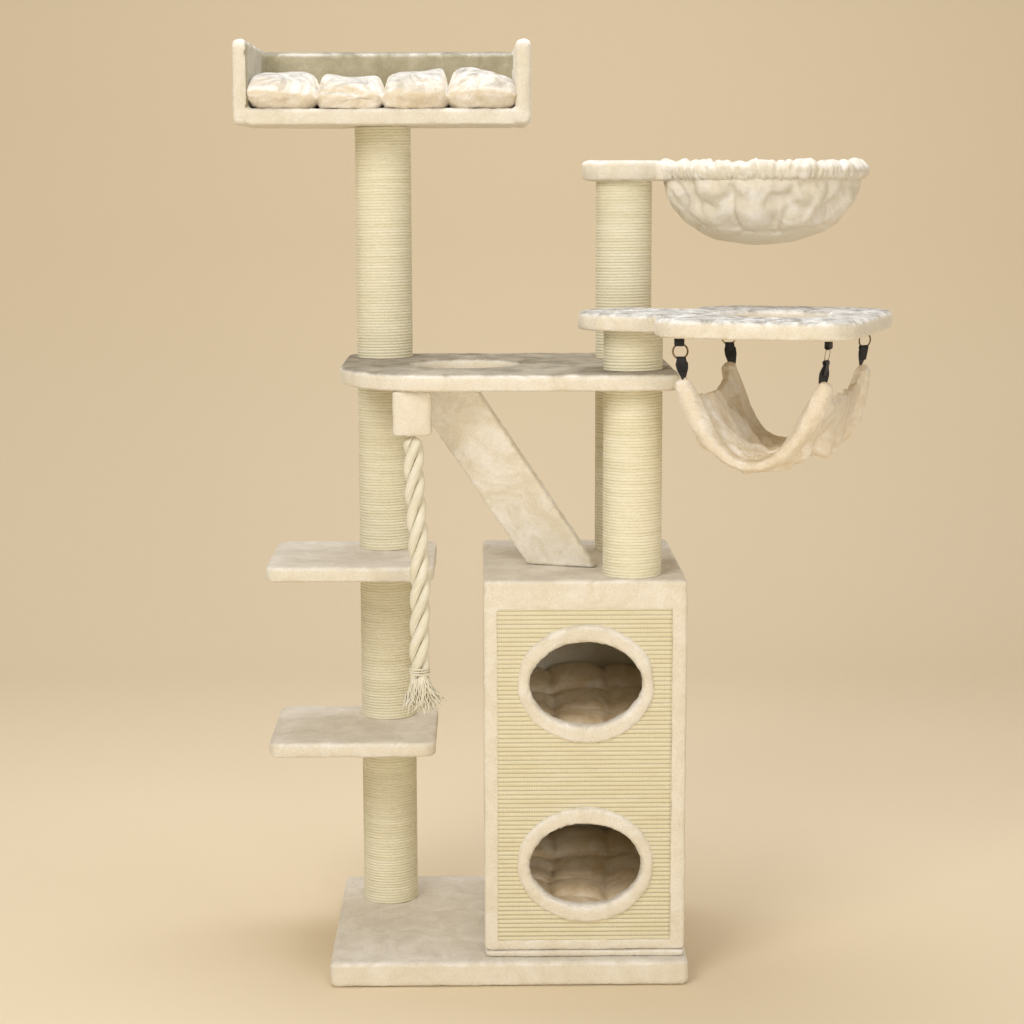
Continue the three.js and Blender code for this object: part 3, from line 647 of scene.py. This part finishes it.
# Picks the faces that get the painted shade.
for face in tray.data.polygons:
    in_the_back = (inner_x < face.center.x < outer_x and face.center.y > back_y - 0.004
                   and (face.normal.y < -0.5 or face.normal.z > 0.5))
    on_left_wall = face.normal.x > 0.5 and abs(face.center.x - inner_x) < 0.006
    face.material_index = int((in_the_back or on_left_wall) and face.center.z > floor_top + 0.002)

low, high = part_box("bed_cushion")


def slumped(at, u, w):
    """Each puff leans and sits its own way."""
    lean = 0.006 * math.sin(9.0 * u + 0.6) + 0.004 * math.sin(23 * u + 5 * w)
    above = at.z - low.z
    at.z = low.z + above * (1 + 0.10 * math.sin(7.3 * u + 1.9)) + lean * above / 0.07
    at.z += 0.012 * max(0.0, w - 0.35) * (at.z > low.z + 0.03)
    at.y -= 0.008 * math.sin(4 * math.pi * u) ** 2 * (1 - w)
    return at


BED_PUFFS = 4
bed = puffs("bed_cushion_plush", low + Vector((0.006, 0.002, -0.006)), high - Vector((0.006, 0.008, 0.016)),
            BED_PUFFS, 1, slumped, neck=0.32)
stuff(bed, grow=0.2)
# The stitching pulls each channel between two puffs down and in.
points = read_points(bed.data)
bed_wide = high.x - low.x
channel = np.abs(((points[:, 0] - low.x) / bed_wide * BED_PUFFS + 0.5) % 1 - 0.5) * bed_wide / BED_PUFFS
tight = np.exp(-(channel / 0.007) ** 2) * (points[:, 0] > low.x + 0.05) * (points[:, 0] < high.x - 0.05)
points[:, 2] += (low.z + 0.020 - points[:, 2]) * 0.5 * tight
points[:, 1] += (points[:, 1] < low.y + 0.06) * 0.010 * tight
write_points(bed.data, points)
rest_on(bed, low.z + FLOOR_GAP)
ruffle(bed, ((0.012, 0.0010), (0.03, 0.0022)), seed=4)
finish_piece(bed, cushion_plush, replaced=["bed_cushion"])

# ---------------------------------------------------------------- the basket
# A steel hoop in a ruched plush sleeve, carried by a plush-covered arm on the back post. A plush
# bowl hangs in it: a round bottom panel and a side wall of ten panels gathered into the sleeve.
HOOP_R, HOOP_HALF = 0.204, 0.0205  # the hoop's own radius, and half the sleeve's thickness


def turned(bm, steps):
    """Turns a profile once round the Z axis."""
    bmesh.ops.spin(bm, geom=bm.verts[:] + bm.edges[:], cent=(0, 0, 0), axis=(0, 0, 1),
                   angle=2 * math.pi, steps=steps, use_merge=True)


def stood_up(bm):
    """Turns what was drawn flat to stand in the XZ plane."""
    bmesh.ops.rotate(bm, matrix=Matrix.Rotation(math.pi / 2, 3, "X"), verts=bm.verts)


arm = joined("basket_arm_plush", ["basket_ring"])
ring_low, ring_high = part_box("basket_ring")
bowl_low, bowl_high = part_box("basket_bowl")
hoop_at = (bowl_low + bowl_high) / 2
hoop_at.z = (ring_low.z + ring_high.z) / 2
bm = bmesh.new()
bm.from_mesh(arm.data)
bmesh.ops.bisect_plane(bm, geom=bm.verts[:] + bm.edges[:] + bm.faces[:],
                       plane_co=(hoop_at.x - HOOP_R + 0.006, 0, 0), plane_no=(1, 0, 0), clear_outer=True)
bmesh.ops.holes_fill(bm, edges=[e for e in bm.edges if e.is_boundary])
bm.to_mesh(arm.data)
bm.free()
skin(arm, 0.005, seed=5)
finish_piece(arm, plush)

bm = bmesh.new()
bmesh.ops.create_circle(bm, segments=26, radius=HOOP_HALF)
stood_up(bm)
bmesh.ops.translate(bm, vec=(HOOP_R, 0, 0), verts=bm.verts)
turned(bm, 420)
bmesh.ops.recalc_face_normals(bm, faces=bm.faces)
for v in bm.verts:
    round_at = math.atan2(v.co.y, v.co.x)
    out = math.hypot(v.co.x, v.co.y) - HOOP_R
    lie = math.atan2(v.co.z, out)
    ring_spot = Vector((math.cos(round_at), math.sin(round_at), 0))
    near = math.exp(-(noise.noise(ring_spot * 15 + Vector((0, 0, 0.25 * lie))) / 0.11) ** 2)
    fine = math.exp(-(noise.noise(ring_spot * 33 + Vector((7, 3, 0.4 * lie))) / 0.16) ** 2)
    puffed = noise.noise(ring_spot * 9 + Vector((3, 9, 0.3 * lie)))
    swell = 1.06 + 0.13 * puffed - 0.20 * near - 0.10 * fine
    top_wave = 0.013 * max(0.0, math.sin(lie)) * noise.noise(ring_spot * 8 + Vector((1, 5, 2)))
    v.co = ring_spot * (HOOP_R + out * swell) + Vector((0, 0, v.co.z * swell * 0.96 + top_wave))
bmesh.ops.translate(bm, vec=hoop_at, verts=bm.verts)
sleeve = from_bmesh("basket_sleeve", bm)
finish_piece(sleeve, plush, replaced=["basket_ring"])

RIM_R = bowl_high.x - hoop_at.x - 0.006
depth = bowl_high.z - bowl_low.z
bm = bmesh.new()
BOWL_ROWS, BOWL_COLUMNS, PANELS = 30, 132, 10
RIM_RISE = 0.006  # how far the bowl's edge goes up into the sleeve
line = []
for i in range(BOWL_ROWS + 1):
    t = math.pi / 2 * i / BOWL_ROWS
    line.append(bm.verts.new((RIM_R * math.cos(t), 0, -(depth - 0.003) * math.sin(t) ** 0.85)))
for a, b in zip(line, line[1:]):
    bm.edges.new((a, b))
turned(bm, BOWL_COLUMNS)
bmesh.ops.remove_doubles(bm, verts=bm.verts, dist=1e-4)
bmesh.ops.recalc_face_normals(bm, faces=bm.faces)
for v in bm.verts:
    down = min(1.0, -v.co.z / depth)
    round_at = math.atan2(v.co.y, v.co.x) / (2 * math.pi) * PANELS + 0.18
    beside = 2 * (round_at % 1.0) - 1  # -1 to 1 across a panel
    panel = math.floor(round_at)
    spot = Vector((math.cos(round_at * 0.628), math.sin(round_at * 0.628), 0))
    gather = math.exp(-(noise.noise(spot * 11 + Vector((0, 0, 1.2 * down))) / 0.10) ** 2)
    swag = math.sin(13 * (down + 0.10 * beside ** 2 + 0.11 * math.sin(2.4 * panel)) + 1.7 * panel)
    folded = (-0.018 * gather * math.exp(-3.0 * down)
              + 0.0075 * swag * math.exp(-((down - 0.36) / 0.28) ** 2))
    seam = math.exp(-((1 - abs(beside)) * RIM_R * math.pi / PANELS / 0.004) ** 2) * (0.14 < down < 0.80)
    lower_seam = math.exp(-((down - 0.74 - 0.05 * math.sin(2.1 * round_at)) / 0.022) ** 2)
    lumpy = 0.010 * noise.noise(v.co * 15)
    v.co *= 1 + (folded + lumpy - 0.010 * seam - 0.007 * lower_seam) / RIM_R * min(1, 9 * down)
bmesh.ops.translate(bm, vec=(hoop_at.x, hoop_at.y, bowl_high.z + RIM_RISE), verts=bm.verts)
bowl = from_bmesh("basket_bowl_plush", bm)
rim = [v.index for v in bowl.data.vertices if v.co.z > bowl_high.z + 0.0055]
bowl.vertex_groups.new(name="sewn_in").add(rim, 1.0, "REPLACE")
settled(bowl, 0.010, bend=0.2, grow=0.08, gravity=0.12, pins="sewn_in")
bowl.vertex_groups.clear()
cloth = bowl.modifiers.new("cloth_depth", "SOLIDIFY")
cloth.thickness, cloth.offset = 0.007, -1
subdivided(bowl)
ruffle(bowl, ((0.012, 0.0007),), seed=3)
finish_piece(bowl, plush, replaced=["basket_bowl"])

# ---------------------------------------------------------------- the play rope
# A plush block is screwed under the platform, and a thick three-strand rope hangs out of it. A
# whipping of thin cord binds its end, and below that the yarns are combed out into a tassel.
plush_board("rope_cap", voxel=0.004, waves=((0.009, 0.0010), (0.03, 0.0016)))

ROPE_R = 0.021
STRAND_LAY = 0.160  # the length in which a strand goes once round
ROPE_LONG = 0.4827  # from the hinge to the whipping
CONE = 0.0105  # the rope's top end closes onto the hinge in this length
TAPER_FROM = 0.462  # from here on the whipping pulls the rope a little thinner
route = [
    (-0.188, -0.235, 1.1212), (-0.188, -0.235, 1.095), (-0.1875, -0.235, 1.055), (-0.186, -0.235, 1.015),
    (-0.184, -0.235, 0.975), (-0.1815, -0.235, 0.935), (-0.1795, -0.235, 0.895), (-0.178, -0.235, 0.855),
    (-0.1775, -0.235, 0.815), (-0.178, -0.235, 0.775), (-0.179, -0.235, 0.735), (-0.1799, -0.235, 0.695),
    (-0.180, -0.235, 0.648),
]
pivot = Vector(next(j["pos_m"] for j in frame["joints"] if j["name"] == "rope_swing"))


def smooth_line(points, step):
    """A smooth line through the points, as evenly spaced points."""
    points = np.array(points)
    far = np.concatenate([[0], np.cumsum(np.linalg.norm(np.diff(points, axis=0), axis=1))])
    at = np.linspace(0, far[-1], max(2, round(far[-1] / step) + 1))
    even = np.stack([np.interp(at, far, points[:, k]) for k in range(3)], axis=1)
    for _ in range(6):
        even[1:-1] = (even[:-2] + 2 * even[1:-1] + even[2:]) / 4
    return [Vector(p) for p in even]


def sweep(bm, line, section, size_at=lambda s: 1.0, turn_at=lambda s: 0.0):
    """Sweeps a closed section along a line, scaled and turned on the way, and closes its ends."""
    rings = []
    ahead = Vector((0, 1, 0))
    gone = 0.0
    for i, point in enumerate(line):
        tangent = (line[min(i + 1, len(line) - 1)] - line[max(i - 1, 0)]).normalized()
        ahead = (ahead - ahead.dot(tangent) * tangent).normalized()
        beside = tangent.cross(ahead)
        gone += (point - line[max(i - 1, 0)]).length
        size, turn = size_at(gone), turn_at(gone)
        c, s = math.cos(turn), math.sin(turn)
        rings.append([bm.verts.new(point + size * ((x * c - y * s) * ahead + (x * s + y * c) * beside))
                      for x, y in section])
    for a, b in zip(rings, rings[1:]):
        for k in range(len(section)):
            n = (k + 1) % len(section)
            bm.faces.new((a[k], a[n], b[n], b[k]))
    bm.faces.new(reversed(rings[0]))
    bm.faces.new(rings[-1])
    return rings


rope_yarn, tree = material("laid_cotton_and_sisal_rope")
spot = add(tree, "Attribute", {"attribute_name": "lay"}).outputs["Vector"]
drawn_out = add(tree, "Mapping", {"Scale": (22, 650, 1)}, {"Vector": spot}).outputs[0]
yarns = add(tree, "TexNoise", {"Scale": 1, "Detail": 4, "Roughness": 0.6},
            {"Vector": drawn_out}).outputs["Fac"]
where = add(tree, "TexCoord").outputs["Object"]
broad = add(tree, "TexNoise", {"Scale": 30, "Detail": 3}, {"Vector": where}).outputs["Fac"]
colour = two_tone(tree, broad, (0.3, "#e4dfc8"), (0.7, "#efebdc"))
streak = add(tree, "MapRange", {"From Min": 0.3, "From Max": 0.65, "To Min": 0.84, "To Max": 1.04},
             {"Value": yarns}).outputs[0]
mixed = multiplied(tree, colour, streak)
ridge = add(tree, "Bump", {"Strength": 0.6, "Distance": 0.0012}, {"Height": yarns}).outputs[0]
end_in_surface(tree, {"Roughness": 0.75, "Sheen Weight": 0.2, "Specular IOR Level": 0.3},
               {"Base Color": mixed, "Normal": ridge})

STRAND_R = ROPE_R / 2.155  # three round strands that touch
STRAND_POINTS = 15
section = []
for strand in range(3):
    for k in range(STRAND_POINTS):
        a = math.radians(-138 + 276 * k / (STRAND_POINTS - 1))
        lobe = Vector((STRAND_R * (1.155 + math.cos(a)), STRAND_R * math.sin(a) * 1.12))
        lobe.rotate(Matrix.Rotation(2 * math.pi * strand / 3, 2))
        section.append(lobe)
bm = bmesh.new()
rope_line = smooth_line([tuple(pivot - Vector((0, 0, 0.001)))] + route, 0.0045)


def rope_size(s):
    """The rope's thickness at a length along it, where 1 is its full thickness."""
    if s < CONE:
        return min(1.0, 0.12 + 0.88 * s / CONE)
    return 1.0 - 0.10 * max(0.0, (s - TAPER_FROM) / 0.02)


def strand_turn(s):
    """How far the strands have gone round at a length along the rope."""
    return 2 * math.pi * s / STRAND_LAY


def round_section(radius, sides):
    """A round section for a sweep."""
    return [(radius * math.cos(a), radius * math.sin(a)) for a in np.linspace(0, 2 * math.pi, sides + 1)[:-1]]


lay = bm.verts.layers.float_vector.new("lay")
rings = sweep(bm, rope_line, section, rope_size, strand_turn)
gone = 0.0
for i, ring in enumerate(rings):
    gone += (rope_line[i] - rope_line[max(i - 1, 0)]).length
    for k, v in enumerate(ring):
        v[lay] = (gone, (k % STRAND_POINTS) * 0.0017 + 0.09 * (k // STRAND_POINTS), 0)
bmesh.ops.recalc_face_normals(bm, faces=bm.faces)
rope = from_bmesh("rope_strands", bm)
finish_piece(rope, rope_yarn, "rope_body", ["rope"])

tie = Vector(route[-1])
bm = bmesh.new()
for i in range(3):
    loop = [tie + Vector((math.cos(a) * (ROPE_R * 0.93), math.sin(a) * (ROPE_R * 0.93),
                          0.0045 * i + 0.0012 * math.sin(a + i)))
            for a in np.linspace(0, 2 * math.pi, 40)]
    sweep(bm, loop, round_section(0.0019, 8))
bmesh.ops.recalc_face_normals(bm, faces=bm.faces)
whipping = from_bmesh("rope_whipping", bm)
finish_piece(whipping, rope_yarn, "rope_body")

YARNS = 190
GOLDEN_TURN = 2.39996  # spreads the yarns evenly over the rope's end
tassel_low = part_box("rope_tassel")[0]
bm = bmesh.new()
stub = [tie - Vector((0, 0, k * 0.004)) for k in range(7)]
sweep(bm, stub, section, lambda s: 0.93 - 6 * max(0.0, s - 0.010), lambda s: strand_turn(s + ROPE_LONG))
for i in range(YARNS):
    spin_at = i * GOLDEN_TURN
    out = math.sqrt((i + 0.5) / YARNS)
    inner = Vector((math.cos(spin_at), math.sin(spin_at), 0))
    wild = noise.noise(Vector((i * 0.71, 3.1, 8.2)))
    other = noise.noise(Vector((i * 0.37, 9.4, 1.7)))
    start = tie + inner * out * ROPE_R * 0.86 - Vector((0, 0, 0.010))
    drop = (start.z - tassel_low.z) * (0.70 + 0.36 * wild)
    flare = Vector((inner.x * (0.005 + 0.010 * out), inner.y * 0.008, 0)) * (1 + other)
    if inner.x > 0.45 and i % 3 == 0:
        flare.x += 0.016 + 0.014 * abs(wild)
        drop *= 0.80
    knee = start + Vector((flare.x * 0.15, flare.y * 0.15, -0.5 * drop))
    line = []
    foot = start + flare - Vector((0, 0, drop))
    for t in [k / 8 for k in range(9)]:
        spot = (1 - t) ** 2 * start + 2 * t * (1 - t) * knee + t * t * foot
        sway = 0.0032 * math.sin(11 * t + i) * t
        line.append(spot + Vector((sway, sway * math.cos(i), 0)))
    sweep(bm, line, round_section(0.0017, 5), lambda s: 1.0 - 3.0 * s)
bmesh.ops.recalc_face_normals(bm, faces=bm.faces)
tassel = from_bmesh("rope_tassel_yarns", bm)
finish_piece(tassel, rope_yarn, "rope_body", ["rope_tassel"])

# ---------------------------------------------------------------- the hammock and its platform
# A plush-covered board on the front post with a round hole. Four webbing loops come out under it,
# each through a ring, and straps sewn to the hammock's corners hang from the rings.
plush_board("hammock_platform", voxel=0.0055, surface=streaked_plush)

TURN = math.radians(-20)  # the hammock's length against the X axis
LEAN = math.radians(8.4)  # the straps lean out by this
RING_R, WIRE_R = 0.014, 0.0018

brass, tree = material("antiqued_brass")
where = add(tree, "TexCoord").outputs["Object"]
patina = add(tree, "TexNoise", {"Scale": 240, "Detail": 4, "Roughness": 0.6},
             {"Vector": where}).outputs["Fac"]
colour = two_tone(tree, patina, (0.35, "#6f5a3a"), (0.65, "#b79f74"))
gloss = add(tree, "MapRange", {"To Min": 0.22, "To Max": 0.45}, {"Value": patina}).outputs[0]
end_in_surface(tree, {"Metallic": 1.0}, {"Base Color": colour, "Roughness": gloss})

webbing, tree = material("black_polyester_webbing")
spot = add(tree, "Attribute", {"attribute_name": "lay"}).outputs["Vector"]
weave = add(tree, "TexBrick",
            {"Scale": 1, "Mortar Size": 0.0002, "Brick Width": 0.0016, "Row Height": 0.0012,
             "Color1": (1, 1, 1, 1), "Color2": (0.8, 0.8, 0.8, 1), "Mortar": (0.2, 0.2, 0.2, 1)},
            {"Vector": spot}).outputs["Color"]
colour = two_tone(tree, weave, (0, "#07080a"), (1, "#131418"))
ribbing = add(tree, "Bump", {"Strength": 0.5, "Distance": 0.0005}, {"Height": weave}).outputs[0]
end_in_surface(tree, {"Roughness": 0.6, "Sheen Weight": 0.1}, {"Base Color": colour, "Normal": ribbing})


WEB_THICK, WEB_FACES = 0.002, 6  # the webbing's thickness, and the faces across it


def strip(name, line, width_at, turn_at):
    """A length of webbing: along its line it has a width and a turn about the line."""
    bm = bmesh.new()
    lay = bm.verts.layers.float_vector.new("lay")
    rows = []
    gone = 0.0
    for i, point in enumerate(line):
        tangent = (line[min(i + 1, len(line) - 1)] - line[max(i - 1, 0)]).normalized()
        gone += (point - line[max(i - 1, 0)]).length
        beside = Vector((math.cos(turn_at(i)), math.sin(turn_at(i)), 0))
        beside = (beside - beside.dot(tangent) * tangent).normalized()
        row = []
        for k in range(WEB_FACES + 1):
            side = (k / WEB_FACES - 0.5) * width_at(i)
            v = bm.verts.new(point + side * beside)
            v[lay] = (side, gone, 0)
            row.append(v)
        rows.append(row)
    for a, b in zip(rows, rows[1:]):
        for k in range(WEB_FACES):
            bm.faces.new((a[k], a[k + 1], b[k + 1], b[k]))
    made = from_bmesh(name, bm)
    body = made.modifiers.new("woven_depth", "SOLIDIFY")
    body.thickness, body.offset = WEB_THICK, 0
    bake(made)
    return made


pins = {j["name"][-2:]: Vector(j["pos_m"]) for j in frame["joints"] if j["name"].startswith("strap_swing")}
HANGS = {  # how far each ring has turned about its strap, and how far the strap twists by its end
    "fl": (0.25, 1.55), "fr": (1.45, -1.25), "bl": (0.35, 0.0), "br": (0.85, 0.9),
}
for corner, pin in pins.items():
    side = 1 if corner.endswith("r") else -1
    ring_turn, twist = HANGS[corner]
    hang = Matrix.Translation(pin) @ Matrix.Rotation(TURN, 4, "Z") @ Matrix.Rotation(side * LEAN, 4, "Y")
    spun = hang @ Matrix.Rotation(ring_turn, 4, "Z")

    # The section is stood up twice, so it lies in the plane of the ring, and the ring is flat.
    bm = bmesh.new()
    bmesh.ops.create_circle(bm, segments=14, radius=WIRE_R)
    bmesh.ops.translate(bm, vec=(RING_R, 0, 0), verts=bm.verts)
    stood_up(bm)
    stood_up(bm)
    turned(bm, 56)
    stood_up(bm)
    bmesh.ops.translate(bm, vec=(0, 0, -RING_R), verts=bm.verts)
    bmesh.ops.transform(bm, matrix=spun, verts=bm.verts)
    bmesh.ops.recalc_face_normals(bm, faces=bm.faces)
    ring = from_bmesh("ring_" + corner + "_wire", bm)
    finish_piece(ring, brass, "strap_body_" + corner, ["ring_" + corner])

    base_turn = TURN + ring_turn
    under_ring = [Vector((0, 0.0042 * math.cos(a), -0.0035 * math.sin(a)))
                  for a in np.linspace(0, math.pi, 13)]
    path = [Vector((0, 0.0034, 0.016))] + under_ring + [Vector((0, -0.0034, 0.016))]
    line = [pin + Matrix.Rotation(base_turn, 3, "Z") @ p for p in path]
    loop = strip("loop_" + corner + "_web", line,
                 lambda i: 0.014 + 0.006 * abs(i - 7) / 7, lambda i: base_turn)
    finish_piece(loop, webbing, "frame", ["loop_" + corner])

    # Points 0 to 9 of the strap fold over the ring. It widens below it, and narrows to the corner.
    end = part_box("strap_" + corner)[0].z
    foot = hang @ Vector((0, 0, -(pin.z - end + 0.008) / math.cos(LEAN)))
    top = spun @ Vector((0, 0, -2 * RING_R - 0.001))
    fold = [spun @ Vector((0, 0.0036 * math.cos(a), -2 * RING_R - 0.001 + 0.0042 * math.sin(a)))
            for a in np.linspace(math.pi, 0, 9)]
    tail = [top.lerp(foot, t) + Vector((0, 0, -0.003 * (1 - t))) for t in np.linspace(0.06, 1, 18)]
    line = [top.lerp(foot, 0.5) - (spun.to_3x3() @ Vector((0, 0.0022, 0)))] + fold + tail
    count = len(line)
    strap = strip("strap_" + corner + "_web", line,
                  lambda i: (0.018 + 0.006 * min(1.0, max(0.0, (i - 9) / 2))
                             - 0.014 * max(0.0, (i - 16) / 12)),
                  lambda i: base_turn + twist * max(0.0, (i - 9) / (count - 10)))
    finish_piece(strap, webbing, "strap_body_" + corner, ["strap_" + corner])

hammock = joined("hammock_plush", ["hammock_sheet"])
remeshed(hammock, 0.0055, rounds=4)
feet = {corner: Vector((pin.x, pin.y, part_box("strap_" + corner)[0].z)) for corner, pin in pins.items()}
middle = sum(feet.values(), Vector()) / 4
along = Vector((math.cos(TURN), math.sin(TURN)))
beside = Vector((-along.y, along.x))
half_deep = max(abs((f.xy - middle.xy).dot(beside)) for f in feet.values())
points = read_points(hammock.data).astype(float)
normals = read_points(hammock.data, "normal")
local_x = (points[:, 0] - middle.x) * along.x + (points[:, 1] - middle.y) * along.y
local_y = (points[:, 0] - middle.x) * beside.x + (points[:, 1] - middle.y) * beside.y
from_edge = np.maximum(0, half_deep - np.abs(local_y))
hem = 0.0065 * np.exp(-((from_edge - 0.010) / 0.017) ** 2)  # the padded roll along the front and back
peaks = sum(np.exp(-np.sum((points - np.array(f)) ** 2, axis=1) / 0.030 ** 2) for f in feet.values())
flat_at = np.stack([local_x, local_y * 1.5, 0 * local_x], axis=1)
folds = (0.7 - 2.4 * np.abs(lumps(flat_at, 0.062, 3))) + 0.5 * lumps(flat_at, 0.045, 5)
half_wide = max(abs((f.xy - middle.xy).dot(along)) for f in feet.values())
inside = np.clip((from_edge - 0.025) / 0.03, 0, 1) * np.clip((half_wide - np.abs(local_x)) / 0.05, 0.15, 1)
uphill = -np.sign(local_x) * 0.6  # the sheet rises towards both ends, so a fold leans inwards
sheet_up = np.stack([uphill * along.x, uphill * along.y, 1 + 0 * local_x], axis=1)
shift = sheet_up * (0.021 * folds * inside)[:, None]
write_points(hammock.data, points + shift + normals * (hem + 0.005 * peaks)[:, None])
corners = hammock.vertex_groups.new(name="sewn")
corners.add(np.nonzero(peaks > 0.5)[0].tolist(), 1.0, "REPLACE")
settled(hammock, 0.014, bend=0.12, grow=0.12, gravity=0.1, pins="sewn", pressure=0.8)
hammock.vertex_groups.clear()
subdivided(hammock)
ruffle(hammock, ((0.011, 0.0007), (0.035, 0.0012)), seed=9)
finish_piece(hammock, hammock_plush, "hammock", ["hammock_sheet"])
